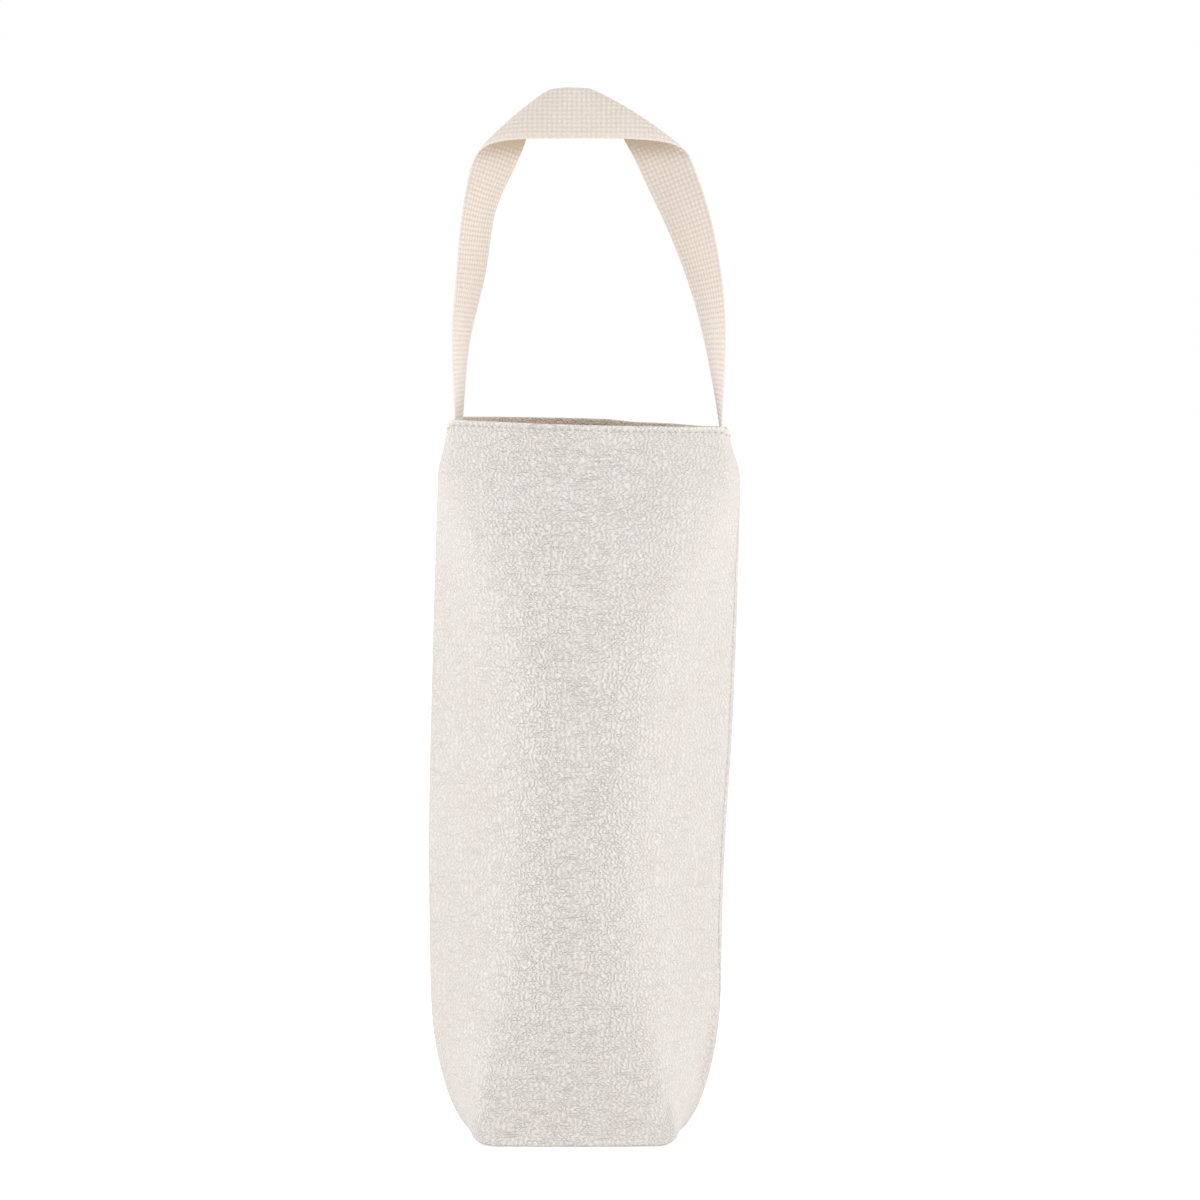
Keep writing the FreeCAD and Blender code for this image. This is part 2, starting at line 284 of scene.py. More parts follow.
def section_path(z, way):
    """The path of one half, rounded: narrowly near the seams, and elsewhere by a width that goes from the
    foot's to the wall's and on to the mouth's."""
    z = np.asarray(z, float)[:, None]
    path = sharp_path(z, way)
    narrow, wide = soften(path, seam_bend), path.copy()
    foot, wall, mouth = (soften(path[:, inside], width) for width in (foot_bend, wall_bend, mouth_bend))
    wide[:, inside] = foot + (wall - foot) * ease((z - wall_start) / wall_ease)[..., None]
    wide[:, inside] += (mouth - wide[:, inside]) * ease((z - rim + mouth_start) / mouth_ease)[..., None]
    far = ease((from_seam - seam_zone) / seam_ease)[None, :, None]
    return narrow + (wide - narrow) * far


print("path at half height", length_along(section_path([rim / 2], -1)[0])[-1].round(4), "long")

# %% [markdown]
# ## Settling
# Cloth never stands as true as a drawing. The rim is a few millimetres lower at the right, and the base
# corners lift off the floor. A cloth simulation could do it, but a smooth bump added to the places of the
# points is easier to set, and the stitches and the webbing settle by the same function.

# %% Settling of the cloth
# reach of the rim's sag below and above it, its depth in the middle and its tilt
sag_reach, sag_above, sag_depth, sag_tilt = 0.060, 0.004, 0.0013, 0.00175
# more sag at the ends of the rim, past a share of its half span
end_sag, end_start, end_reach = 0.0020, 0.95, 0.05
# more sag behind, as the depth and start in x of two steps, and the reaches of a step in x and y
rear_sags, rear_step, rear_reach = ((0.0009, 0.010), (0.0005, 0.040)), 0.015, 0.02
# how far the webbing draws the left rear quarter in, and where and over what length that begins
drawn_in, drawn_start, drawn_reach = 0.0027, -0.030, 0.020
# lift of the base corners, its middle, its start and reach in x, and its height
corner_lift, lift_middle, lift_start, lift_reach, lift_height = 0.0014, -0.003, 0.037, 0.010, 0.016
# swelling of the right side, its height and spread, and its start and reach in x
side_swell, swell_height, swell_spread, swell_start, swell_reach = 0.0013, 0.185, 0.055, 0.01, 0.05


def settle(points):
    """Adds what the cloth does by its own weight, each as a smooth step of the place.

    The rim sags, more at the right, at its ends and behind. Its left rear quarter is drawn in by the
    webbing. The base corners lift, and the right side swells as a bell curve of the height."""
    x, y, z = points[..., 0], points[..., 1], points[..., 2]
    near_rim = ease((z - rim + sag_reach) / sag_reach) * (1 - ease((z - rim - sag_above) / sag_reach))
    span = np.clip((x - middle(z)) / mouth_half, -1, 1)
    behind = ease(y / rear_reach) * sum(depth * ease((x - start) / rear_step) for depth, start in rear_sags)
    ends = end_sag * np.clip((np.abs(span) - end_start) / end_reach, 0, 1) ** 2
    sag = (sag_depth + sag_tilt * span + behind + ends) * near_rim
    drawn = drawn_in * ease((y + webbing_width / 2) / webbing_width) * near_rim
    drawn = drawn * ease((drawn_start - x) / drawn_reach)
    lift = ease((np.abs(x - lift_middle) - lift_start) / lift_reach) * (1 - ease(z / lift_height))
    swell = np.exp(-((z - swell_height) / swell_spread) ** 2) * ease((x - swell_start) / swell_reach)
    return np.stack([x + drawn + side_swell * swell, y, z - sag + corner_lift * lift], -1)


print("rim ends settle by", settle(np.array([[-mouth_half, 0, rim], [mouth_half, 0, rim]]))[:, 2] - rim)

# %% [markdown]
# ## Dents
# A wall that has been folded and handled has shallow dents, and a pinch at each boxed corner. Sculpting
# would do it, but a short list of slanted bell curves is easier to change, and it stays smooth.

# %% Dents in the walls
# centre x and z, reach in x and z, slant, and depth inwards of each dent
front_dents = np.array([
    (0.0415, 0.0170, 0.0055, 0.0090, 0.35, 0.0020),
    (0.0500, 0.0330, 0.0210, 0.0270, 0.00, 0.0034),
    (-0.0500, 0.0150, 0.0060, 0.0100, -0.35, 0.0020),
    (-0.0610, 0.1330, 0.0070, 0.0030, 0.30, 0.0008),
    (0.0580, 0.2950, 0.0120, 0.0220, 0.10, 0.0010),
    (-0.0350, 0.2600, 0.0220, 0.0500, 0.10, -0.0008),
    (0.0300, 0.1900, 0.0200, 0.0600, -0.10, -0.0006),
])
back_dents = np.array([
    (0.0440, 0.0160, 0.0075, 0.0110, 0.35, 0.0024),
    (-0.0490, 0.0150, 0.0070, 0.0110, -0.30, 0.0024),
    (0.0100, 0.2900, 0.0300, 0.0200, 0.10, 0.0012),
    (-0.0200, 0.1500, 0.0240, 0.0600, 0.15, 0.0008),
])


def dent(points, dents):
    """Sum of slanted bell curves in x and z, which is how far each point is pushed in."""
    x, z = points[..., 0, None], points[..., 2, None]
    across = (x - dents[:, 0] - dents[:, 4] * (z - dents[:, 1])) / dents[:, 2]
    up = (z - dents[:, 1]) / dents[:, 3]
    return (dents[:, 5] * np.exp(-across ** 2 - up ** 2)).sum(-1)


print("dents", len(front_dents), "in front,", len(back_dents), "behind")

# %% [markdown]
# ## Rows and columns of a panel
# Each panel is one cloth: its wall rolls under at the foot and turns in at the rim to make the hem. A row
# of the grid is one height with an inset, which walks round the foot and the rim as an arc does. Rows and
# columns stand closer where the cloth bends most.

# %% The panel's grid
fine_below, fine_above = 0.05, 0.29
foot_rows, rim_rows, hem_rows, end_rows, wall_rows = 7, 9, 10, 26, 66
inset_hold = 0.002
dent_margin = 0.006


def roll(radius, first, last, count):
    """Heights and insets of a quarter or half turn of a given radius, for two angles in degrees."""
    angle = np.radians(np.linspace(first, last, count))
    return radius * np.sin(angle), radius * (1 - np.cos(angle))


foot_z, foot_inset = roll(foot_roll, 90, 0, foot_rows)
rim_z, rim_inset = roll(hem_roll, 0, 180, rim_rows)
wall_z = np.concatenate([np.linspace(foot_roll, fine_below, end_rows)[1:],
                         np.linspace(fine_below, fine_above, wall_rows)[1:],
                         np.linspace(fine_above, rim - hem_roll, end_rows)[1:-1]])
hem_z = np.linspace(rim - hem_roll, rim - hem_depth, hem_rows)[1:]
row_z = np.concatenate([foot_roll - foot_z, wall_z, rim - hem_roll + rim_z, hem_z])
row_inset = np.concatenate([foot_inset, 0 * wall_z, rim_inset, 0 * hem_z + 2 * hem_roll])
row_length = length_along(np.stack([row_z, row_inset], 1))
# columns are 1.3 mm apart on an allowance, 0.4 mm at its seam, 1.7 mm beside it and 2 mm on the wall
near = np.concatenate([np.linspace(-allowance, -0.001, 7), np.linspace(-0.0005, 0.004, 12),
                       np.linspace(0.005, 0.040, 22)])
columns = np.concatenate([near, np.linspace(0.041, flat_width - 0.041, 46), flat_width - near[::-1]])
picked = np.searchsorted(along, columns - step / 2)


def panel_rows(z, inset, way):
    """Outer face of a panel at given heights and insets, on the fine line along the cloth.

    Each point is the section's point less the inset along the outward normal, which is the tangent turned
    by a right angle. Close to a seam the inset keeps the normal of a point further in, and dents fade out.
    way is -1 for the front panel and 1 for the back one, which is its mirror image."""
    path = section_path(z, way)
    tangent = np.gradient(path, axis=1)
    normal = unit(np.stack([tangent[..., 1], -tangent[..., 0]], -1))
    steady = np.clip(np.arange(along.size), *np.searchsorted(along, (inset_hold, flat_width - inset_hold)))
    z = np.broadcast_to(np.asarray(z, float)[:, None], path.shape[:2])
    upright = np.stack([path[..., 0] + middle(z), path[..., 1], z], -1)
    pushed = dent(upright, front_dents if way < 0 else back_dents) * ease(from_seam / dent_margin)
    path = path - normal[:, steady] * np.asarray(inset, float)[:, None, None] - normal * pushed[..., None]
    return settle(np.stack([path[..., 0] + middle(z), -way * path[..., 1], z], -1))


print("panel grid", row_z.size, "by", picked.size)

# %% [markdown]
# ## From grids to meshes
# Every surface below is an array of rows, columns and coordinates. One function turns it into faces and
# gives it a UV map in metres along the cloth, so that a weave can be drawn at its real scale. Several grids
# can go into one mesh, and points that fall together are merged, as where the base meets the wall.

# %% Meshes from grids
weld_distance = 0.00001


def mesh_object(name, points, faces):
    """A smooth-shaded object from arrays of points and faces."""
    mesh = bpy.data.meshes.new(name)
    mesh.from_pydata(points.tolist(), [], faces)
    mesh.polygons.foreach_set("use_smooth", np.ones(len(mesh.polygons), bool))
    piece = bpy.data.objects.new(name, mesh)
    bpy.context.scene.collection.objects.link(piece)
    return piece


def grid_object(name, grids, flip=False, weld=weld_distance):
    """One mesh from a list of (points, uv) grids: each face takes four neighbouring points."""
    points, uvs, faces, start = [], [], [], 0
    for place, uv in grids:
        index = start + np.arange(place[..., 0].size).reshape(place.shape[:2])
        quads = np.stack([index[:-1, :-1], index[:-1, 1:], index[1:, 1:], index[1:, :-1]], -1).reshape(-1, 4)
        points.append(place.reshape(-1, 3))
        uvs.append(np.broadcast_to(uv, place.shape[:2] + (2,)).reshape(-1, 2))
        faces.append(quads[:, ::-1] if flip else quads)
        start += index.size
    faces = np.concatenate(faces)
    piece = mesh_object(name, np.concatenate(points), faces.tolist())
    layer = piece.data.uv_layers.new(name="cloth")
    layer.data.foreach_set("uv", np.concatenate(uvs)[faces.ravel()].astype(np.float32).ravel())
    if weld:
        merge = piece.modifiers.new("weld", "WELD")
        merge.merge_threshold = weld
    return piece


def sheet_uv(across, up):
    """UV grid in metres from a line across the cloth and a line up it."""
    return np.stack(np.meshgrid(across, up), -1)


print("UV of a panel's corner", sheet_uv(columns, row_length)[0, 0])

# %% [markdown]
# ## Base and corners
# Half of the boxed base lies on the floor, and turns up at the base seam. At a corner the allowance folds
# inwards. Separate planes would leave a slit at the foot, so both start from the wall's lowest row and share
# its points.

# %% Rows of the base and the corners
base_height, base_turn, base_steps = 0.0001, 0.0010, 16
turn_flare, turn_height = 0.0004, 0.0005
turn_rises = np.array([0.0006, 0.0014, 0.004, 0.0085])[:, None]
corner_height, corner_steps = 0.0022, 8
# the base is flat after a third of its way, and a corner's fold after a quarter
base_rate, corner_rate = 3, 4


def base_rows(edge, way):
    """Half of the base: it lies straight from the edge to the base seam, and then stands up, close to the
    other half, with a flare at its foot that dies away with the height."""
    share = np.linspace(0, 1, base_steps)[1:, None]
    down = ease(share * base_rate)
    lying = np.stack(np.broadcast_arrays(
        edge[:, 0], edge[:, 1] * (1 - share) + way * base_turn * share,
        edge[:, 2] * (1 - down) + base_height * down), -1)
    flare = turn_flare * np.exp(-turn_rises / turn_height)
    standing = np.stack(np.broadcast_arrays(lying[-1, :, 0], way * seam_gap + way * flare, turn_rises), -1)
    return np.concatenate([edge[None], lying, standing])


def corner_rows(edge, inward):
    """Allowance of a boxed corner: it runs inwards from the edge and eases to its height."""
    reach = np.linspace(0, 1, corner_steps)[1:, None]
    up = ease(reach * corner_rate)
    folded = np.stack(np.broadcast_arrays(
        edge[:, 0] + inward * (allowance - foot_roll) * reach, edge[:, 1],
        edge[:, 2] * (1 - up) + corner_height * up), -1)
    return np.concatenate([edge[None], folded])


print("rows of the base", base_steps + len(turn_rises), "and of a corner", corner_steps)

# %% [markdown]
# ## A panel of canvas
# The wall and the hem are one grid, and the base and the corners are joined to it. The grids are the cloth's
# outer face. An inner face could be drawn too, but Solidify adds it at the same thickness everywhere.

# %% The two panels
def panel(name, way):
    """A panel: wall and hem, half of the base with its allowance, and the two corner allowances.

    The back panel's pattern starts two widths further on, so that it differs from the front one's."""
    wall = panel_rows(row_z, row_inset, way)[:, picked]
    across = columns + (0 if way < 0 else 2 * flat_width)
    grids = [(wall, sheet_uv(across, row_length))]
    first = np.searchsorted(columns, flat_width / 2 - base_half)
    last = len(columns) - 1 - first
    base = base_rows(wall[0, first:last + 1], way)
    length = np.cumsum(np.linalg.norm(np.diff(base, axis=0), axis=-1).mean(1))
    grids.append((base[::-1], sheet_uv(across[first:last + 1], -np.concatenate([[0], length])[::-1])))
    seams = np.searchsorted(columns, (0.0, flat_width))
    for start, stop, inward in ((seams[0], first, 1), (last, seams[1], -1)):
        rows = corner_rows(wall[0, start:stop + 1], inward)[::-1]
        grids.append((rows, sheet_uv(across[start:stop + 1], -np.linspace(allowance, 0, len(rows)))))
    piece = grid_object(name, grids, flip=way > 0)
    solid = piece.modifiers.new("thickness", "SOLIDIFY")
    solid.thickness = cloth
    solid.offset = -1
    return piece


front_cloth = panel("front_cloth", -1)
back_cloth = panel("back_cloth", 1)
print("panel faces", len(front_cloth.data.polygons))

# %% [markdown]
# ## The webbing loop
# The handle is one length of webbing. It leaves its two sewn ends upright, twists as it climbs and is
# folded over to the front at the top. A strip swept along a curve would stretch there, but flat webbing
# bends only along straight lines. So each row here is one such rule: a front edge point, a rear edge point
# and a small crown between them. The rules follow the solid's own closely, and the sewn ends lie against
# the hem.

# %% Rules of the webbing
# x over the mouth's half span, y over the webbing's width and z over the rise, for both edges, then the crown
rule_shares = np.array([
    (-0.974, -0.485, 0.250, -0.862, 0.475, 0.250, 0.00),
    (-0.942, -0.425, 0.440, -0.736, 0.478, 0.440, 0.00),
    (-0.903, -0.350, 0.616, -0.656, 0.470, 0.640, 0.00),
    (-0.863, -0.250, 0.716, -0.549, 0.450, 0.737, 0.00),
    (-0.824, -0.134, 0.776, -0.453, 0.358, 0.828, 0.03),
    (-0.774, -0.104, 0.812, -0.372, 0.184, 0.934, 0.05),
    (-0.708, -0.210, 0.832, -0.302, 0.010, 0.988, 0.06),
    (-0.600, -0.352, 0.842, -0.259, -0.088, 0.994, 0.04),
    (-0.378, -0.470, 0.847, -0.197, -0.170, 0.998, 0.02),
    (-0.101, -0.480, 0.847, -0.126, -0.240, 1.000, 0.01),
    (0.190, -0.416, 0.847, -0.065, -0.224, 0.998, 0.02),
    (0.431, -0.284, 0.842, -0.003, -0.156, 0.997, 0.05),
    (0.602, -0.132, 0.832, 0.078, -0.028, 0.978, 0.09),
    (0.702, 0.006, 0.808, 0.167, 0.114, 0.905, 0.06),
    (0.756, 0.034, 0.761, 0.290, 0.246, 0.816, 0.03),
    (0.815, -0.080, 0.695, 0.400, 0.360, 0.719, 0.00),
    (0.879, -0.204, 0.601, 0.524, 0.404, 0.610, 0.00),
    (0.983, -0.480, 0.250, 0.829, 0.460, 0.250, 0.00),
])
edge_room = 0.0005
sewn_levels = np.linspace(rim - sewn_length, rim, 16)
beside_seam = (along > 0.002) & (along < 0.040)
sewn_path = section_path(sewn_levels, -1)[:, beside_seam]
sewn_x = np.array([np.interp(webbing_width / 2 + edge_room, -row[:, 1], -row[:, 0]) for row in sewn_path])


def sewn_face(z):
    """Half distance between the outer faces of the two sewn ends, where the hem meets their edges."""
    return np.interp(z, sewn_levels, sewn_x) - 2 * hem_roll - clearance


def rule_points(first, y):
    """One edge's points: its two places at the rim, with the rules' own between them."""
    half = float(sewn_face(rim)) - webbing_thickness / 2
    ends = [np.array([[middle(rim) + side * half, y, rim]]) for side in (-1, 1)]
    shares = rule_shares[:, first:first + 3] * [mouth_half, webbing_width, handle_rise]
    return np.concatenate([ends[0], shares + [middle(rim), 0, rim], ends[1]])


front_points, rear_points = rule_points(0, -webbing_width / 2), rule_points(3, webbing_width / 2)
marks = length_along((front_points + rear_points) / 2)
print("free loop between the rims", round(float(marks[-1]), 4))

# %% [markdown]
# ## Edges through the rules
# A curve object could be bent through the points, but two edges have to keep step with each other. So one
# natural spline, the curve that a thin batten takes, runs through both edges and the crown at the same
# marks. The lengths it gives are the webbing's own, and the cut length is measured from them.

# %% Splines along the webbing
def natural_spline(values, places):
    """Cubic spline through values at the marks, whose bending is nothing at its ends.

    The second slopes solve the usual three-term equations, and each stretch is a cubic of them."""
    gap, count = np.diff(marks), len(marks)
    inner = np.arange(1, count - 1)
    matrix, right = np.eye(count), np.zeros_like(values)
    matrix[inner, inner - 1], matrix[inner, inner + 1] = gap[:-1], gap[1:]
    matrix[inner, inner] = 2 * (gap[:-1] + gap[1:])
    right[1:-1] = 6 * np.diff(np.diff(values, axis=0) / gap[:, None], axis=0)
    bend = np.linalg.solve(matrix, right)
    low = np.clip(np.searchsorted(marks, places, "right") - 1, 0, count - 2)
    wide = gap[low][:, None]
    after, before = (places - marks[low])[:, None], (marks[low + 1] - places)[:, None]
    curve = (bend[low] * before ** 3 + bend[low + 1] * after ** 3) / (6 * wide)
    return (curve + (values[low] / wide - bend[low] * wide / 6) * before
            + (values[low + 1] / wide - bend[low + 1] * wide / 6) * after)


def webbing_edges(places):
    """Front edge, rear edge and crown at places in metres from where the webbing leaves the left hem.

    Between the rims they follow the splines, and below them the edges go straight down along the hem."""
    last = marks[-1]
    free = np.clip(places, 0, last)
    edges = [natural_spline(points, free) for points in (front_points, rear_points)]
    below = np.maximum(np.maximum(-places, places - last), 0)
    z = rim - below
    x = middle(z) + np.sign(places - last / 2) * (sewn_face(z) - webbing_thickness / 2)
    for edge in edges:
        edge[:, 0] = np.where(below > 0, x, edge[:, 0])
        edge[:, 2] -= below
    return (*edges, natural_spline(np.pad(rule_shares[:, 6], 1)[:, None] * webbing_width, free))


spread = np.linspace(-sewn_length, marks[-1] + sewn_length, 4001)
front_edge, rear_edge = webbing_edges(spread)[:2]
run = length_along((front_edge + rear_edge) / 2)
webbing_length = float(run[-1])
print("webbing length", round(webbing_length, 4), "rule lengths",
      np.linalg.norm(rear_edge - front_edge, axis=1)[::500].round(4))

# %% [markdown]
# ## Weaving the webbing
# Heavy cotton webbing is a plain weave of thick yarns: rows and columns of plump knuckles about two
# millimetres apart, and a firm rounded selvedge. The knuckles are large enough to see, so they are raised in
# the mesh: the profile is a rounded strip, and the gaps between knuckles sink along its normal by a product
# of two sines. On the outer face they are worn shallower.

# %% The webbing's surface
yarn_width = webbing_width / 12
knuckle, steps_per_knuckle = 0.0022, 4
relief, worn_share = 0.00042, 0.7
edge_bend, twist_bend = 0.008, 0.020
selvedge_power = 14
column_floor, row_floor, plumpness = 0.3, 0.15, 0.8
nub_share = 0.006
even = np.linspace(0, webbing_length, int(steps_per_knuckle * webbing_length / knuckle))
places = np.interp(even, run, spread)
# four columns to a yarn, and one more close to each selvedge
share = np.concatenate([[-1.0, -0.99], np.linspace(-23, 23, 47) / 24, [0.99, 1.0]])
width = share * webbing_width / 2
round_off = np.clip(1 - np.abs(share) ** selvedge_power, 0, 1) ** 0.5


def webbing_plane():
    """Middle plane of the strip, outward directions, each point's length along it, and the front edge's z.

    A point goes a share of the way across, and the crown lifts it as a parabola. Outward is the cross
    product of the ways along and across, smoothed. A slanting rule's points lie further on or back."""
    front, rear, lift = (soften(line[None], edge_bend, even[1])[0] for line in webbing_edges(places))
    tangent, across = np.gradient((front + rear) / 2, axis=0), rear - front
    out = unit(soften(unit(np.cross(tangent, across))[None], twist_bend, even[1])[0])
    slant = (across * tangent).sum(1) / np.linalg.norm(tangent, axis=1)
    nub = 1 + nub_share * np.cos(2 * np.pi * even / knuckle)
    plane = (front + rear)[:, None] / 2 + across[:, None] / 2 * (share[None, :, None] * nub[:, None, None])
    plane = plane + out[:, None] * (lift * (1 - share[None] ** 2))[..., None]
    return plane, out[:, None], even[:, None] + slant[:, None] * share[None] / 2, front[:, 2:]


def weave_gaps(length):
    """Gaps between the knuckles: one less a product of two plump sines, rounded off at the selvedge."""
    wave = np.abs(np.sin(np.pi * (width / yarn_width + 0.5)))[None] ** plumpness
    phase = np.abs(np.sin(np.pi * length / knuckle)) ** plumpness
    knuckles = (column_floor + (1 - column_floor) * wave) * (row_floor + (1 - row_floor) * phase)
    return (1 - knuckles) * round_off[None]


plane, out, length, front_z = webbing_plane()
gaps = weave_gaps(length)
half = webbing_thickness / 2 * round_off[None]
top = plane + out * (half - worn_share * relief * gaps)[..., None]
bottom = plane - out * (half - relief * gaps)[..., None]
print("webbing grid", top.shape[0], "by", 2 * top.shape[1])

# %% [markdown]
# ## Closing the strip
# The outer and the inner face are joined into one tube. Each point also keeps a number for the finish, which
# is high on a knuckle and low in a gap, where the finish paints shade. It is higher at the roots, as painted
# light against the shade near the rim, and lower on the legs just under the fold, as painted shade there.

# %% The webbing's mesh
selvedge_turn, girth = 0.05, 0.052
root_light_gain, root_light_reach = 0.65, 0.45
fold_rules, fold_ease = [6, 14], 0.010
fold_share, fold_shade_reach = 0.842, 0.012
# painted light: towards the roots near the rim the webbing is lightened, against the shade there
root = root_light_gain * (1 - ease((front_z - rim) / (root_light_reach * handle_rise)))
# painted shade: just under the fold the legs' inner face is taken towards the deep tan, where the fold shades
# it
folds = marks[fold_rules]
leg = ease((np.abs(places - folds.mean()) - np.ptp(folds) / 2) / fold_ease + 0.5)[:, None]
painted_fold_shade = leg * (1 - ease((rim + fold_share * handle_rise - bottom[..., 2]) / fold_shade_reach))
# the number is low in the gaps as painted shade, raised by the painted root light, lowered by the painted
# fold shade
weave = np.concatenate([1 - worn_share * gaps + root, (1 - gaps + root - painted_fold_shade)[:, ::-1]], 1)
around = np.concatenate([width, (1 + selvedge_turn) * webbing_width - width[::-1]])
lengths = np.concatenate([length, length[:, ::-1]], 1)
surface = settle(np.concatenate([top, bottom[:, ::-1]], 1))
surface_uv = np.stack([np.broadcast_to(around, lengths.shape), lengths], -1)
closed = np.concatenate([surface, surface[:, :1]], 1)
closed_uv = np.concatenate([surface_uv, surface_uv[:, :1] + [girth, 0]], 1)
handle_webbing = grid_object("handle_webbing", [(closed, closed_uv)])
heights = handle_webbing.data.attributes.new("weave", "FLOAT", "POINT")
heights.data.foreach_set("value", np.concatenate([weave, weave[:, :1]], 1).astype(np.float32).ravel())
print("webbing faces", len(handle_webbing.data.polygons))

# %% [markdown]
# ## Thread
# A lockstitch shows as a row of short bars, each sinking into the cloth at both ends. One function makes a
# whole row at once: every stitch is a small tube whose middle line is an arch over the cloth and whose rings
# narrow at the ends. It needs only where each stitch starts and ends, and which way is out of the cloth.

# %% Rows of stitches
thread_radius = 0.00034
pitch, stitch_share = 0.0033, 0.72
rings, sides = 7, 6
end_share, arch_rise, sunk = 0.35, 1.5, 1.0


def stitch_rows(name, rows):
    """Tubes along arches: start plus a share of the stitch, plus out times a sine, plus a ring of points."""
    start, end, out = (np.concatenate([row[part] for row in rows])[:, None, None] for part in range(3))
    share = np.linspace(0, 1, rings)[None, :, None, None]
    angle = np.linspace(0, 2 * np.pi, sides + 1)[None, None, :-1, None]
    side = np.cross(unit(end - start), out)
    arch = np.sin(np.pi * share)
    thick = thread_radius * (end_share + (1 - end_share) * arch ** 0.5)
    place = start + (end - start) * share + out * thread_radius * (arch_rise * arch - sunk)
    ring = place + thick * (out * np.cos(angle) + side * np.sin(angle))
    index = np.arange(len(ring) * rings * sides).reshape(-1, rings, sides)
    after = np.roll(index, -1, 2)
    quads = np.stack([index[:, :-1], index[:, 1:], after[:, 1:], after[:, :-1]], -1).reshape(-1, 4)
    caps = np.concatenate([index[:, 0], index[:, -1, ::-1]])
    return mesh_object(name, ring.reshape(-1, 3), quads.tolist() + caps.tolist())


def points_at(line, run, where):
    """Points of a line at given lengths along it."""
    return np.stack([np.interp(where, run, line[:, axis]) for axis in range(3)], 1)


def along_line(line, outward):
    """Starts, ends and outward directions of stitches of one pitch along a line of points."""
    run = length_along(line)
    count = max(1, int(round(run[-1] / pitch)))
    centre = (np.arange(count) + 0.5) * run[-1] / count
    half = run[-1] / count * stitch_share / 2
    out = unit(points_at(np.broadcast_to(outward, line.shape), run, centre))
    return points_at(line, run, centre - half), points_at(line, run, centre + half), out


print("a stitch is", round(pitch * stitch_share * 1000, 2), "mm long")

# %% [markdown]
# ## Stitches under the rim
# The hem is held by one row of stitches close under the rim. It shows outside on both panels, and inside on
# the hem between the two sewn ends of the webbing. Its line is one row of the panel's own surface, so the
# stitches dip and bend with the cloth.

# %% Rim stitches
rim_drop = 0.0026
rim_step = 0.0006
seam_margin, webbing_margin = 0.0015, 0.020


def rim_row(way, inset, margin):
    """The stitched line under the rim on one panel, on its outside or on the inside of its hem."""
    keep = (along > margin) & (along < flat_width - margin)
    z = rim - rim_drop
    rows = panel_rows(np.array([z, z + rim_step]), np.array([inset, inset]), way)[:, keep]
    out = np.cross(np.gradient(rows[0], axis=0), rows[1] - rows[0]) * (-way if inset == 0 else way)
    return along_line(rows[0], out)


rim_thread = stitch_rows("rim_thread", [
    rim_row(way, inset, margin) for way in (-1, 1)
    for inset, margin in ((0, seam_margin), (2 * hem_roll, webbing_margin))])
print("rim thread faces", len(rim_thread.data.polygons))

# %% [markdown]
# ## Overlocked edges
# Looking into the mouth, one sees the raw edges of the seams: two layers of canvas, whose edge is wrapped
# by thread in slanting ridges. Single loops of thread would be thousands of faces for something hardly
# seen, so the wrap is a flattened tube along the edge, whose thickness swells with a sine along it.

# %% The overlocked edge
overlock_width, overlock_half = 0.005, 0.00145
ridge, ridge_swell = 0.0022, 0.10
ring_step, end_taper, wrap_radius = 0.0005, 0.001, 0.001
flat_power, round_power = 0.6, 0.8


def sleeve(name, line, inward, side):
    """A flat tube round an edge: half the width along inward, half the thickness along side, and ridges."""
    run = length_along(line)
    even = np.linspace(0, run[-1], int(run[-1] / ring_step))
    angle = np.linspace(0, 2 * np.pi, 17)
    swell = 1 + ridge_swell * np.sin(2 * np.pi * even[:, None] / ridge + 2 * angle[None])
    ends = np.minimum(1, np.minimum(even, even[::-1]) / end_taper)[:, None] ** 0.5
    flat = np.sign(np.cos(angle)) * np.abs(np.cos(angle)) ** flat_power * overlock_width / 2
    thick = np.sign(np.sin(angle)) * np.abs(np.sin(angle)) ** round_power * overlock_half
    rings = points_at(line, run, even)[:, None] + inward * (flat * np.ones_like(swell))[..., None]
    rings = rings + side * (thick[None] * swell * ends)[..., None]
    return grid_object(name, [(rings, sheet_uv(angle * wrap_radius, even))])


print("ridges per centimetre", round(0.01 / ridge, 1))

# %% [markdown]
# ## Side seams
# Each seam has its overlocked edge and its stitches, on the allowances that the panels already have. The side
# seams run up the inside of the walls, from the boxed corners to the sewn ends. They could be drawn by hand,
# but the section's formula already knows the line where the panels meet.

# %% Threads and edgings of the sides
seam_inset = 0.0032
seam_foot, seam_top = 0.010, 0.006
sideways, rearwards, upwards = np.eye(3)
seam_z = np.linspace(seam_foot, rim - sewn_length - seam_top, 60)
seam_span, seam_corner, seam_depth = section(seam_z)[:3]
rolled = slide(seam_z) / np.hypot(seam_span - seam_corner, seam_depth)


def side_seam(name, side):
    """A side seam: the line where the panels meet, moved along the flat by its roll and then inwards."""
    share = rolled * (side > 0)
    seam_x = middle(seam_z) + side * (seam_span - (seam_span - seam_corner) * share)
    seam = np.stack([seam_x, -seam_depth * share, seam_z], 1)
    inward = -side * sideways
    edge = settle(seam + inward * (allowance - overlock_width / 2))
    wrap = sleeve(name + "_side_edging", edge, inward, rearwards)
    rows = [along_line(settle(seam + inward * seam_inset + face * (cloth + clearance) * rearwards),
                       face * rearwards) for face in (-1, 1)]
    return [(wrap, name + "_side_overlock"),
            (stitch_rows(name + "_side_thread", rows), name + "_side_stitching")]


print("side seams are", round(float(np.ptp(seam_z)), 3), "m long")

# %% [markdown]
# ## Seams of the base
# The corner seams cross the ends of the base, and the base seam lies along its middle. They are straight, so
# two points give each line, and the same wrap and stitches are laid along it.

# %% Threads and edgings of the base
corner_level, corner_rise, end_margin = 0.0024, 0.0012, 0.003
base_stitch_height = 0.0034


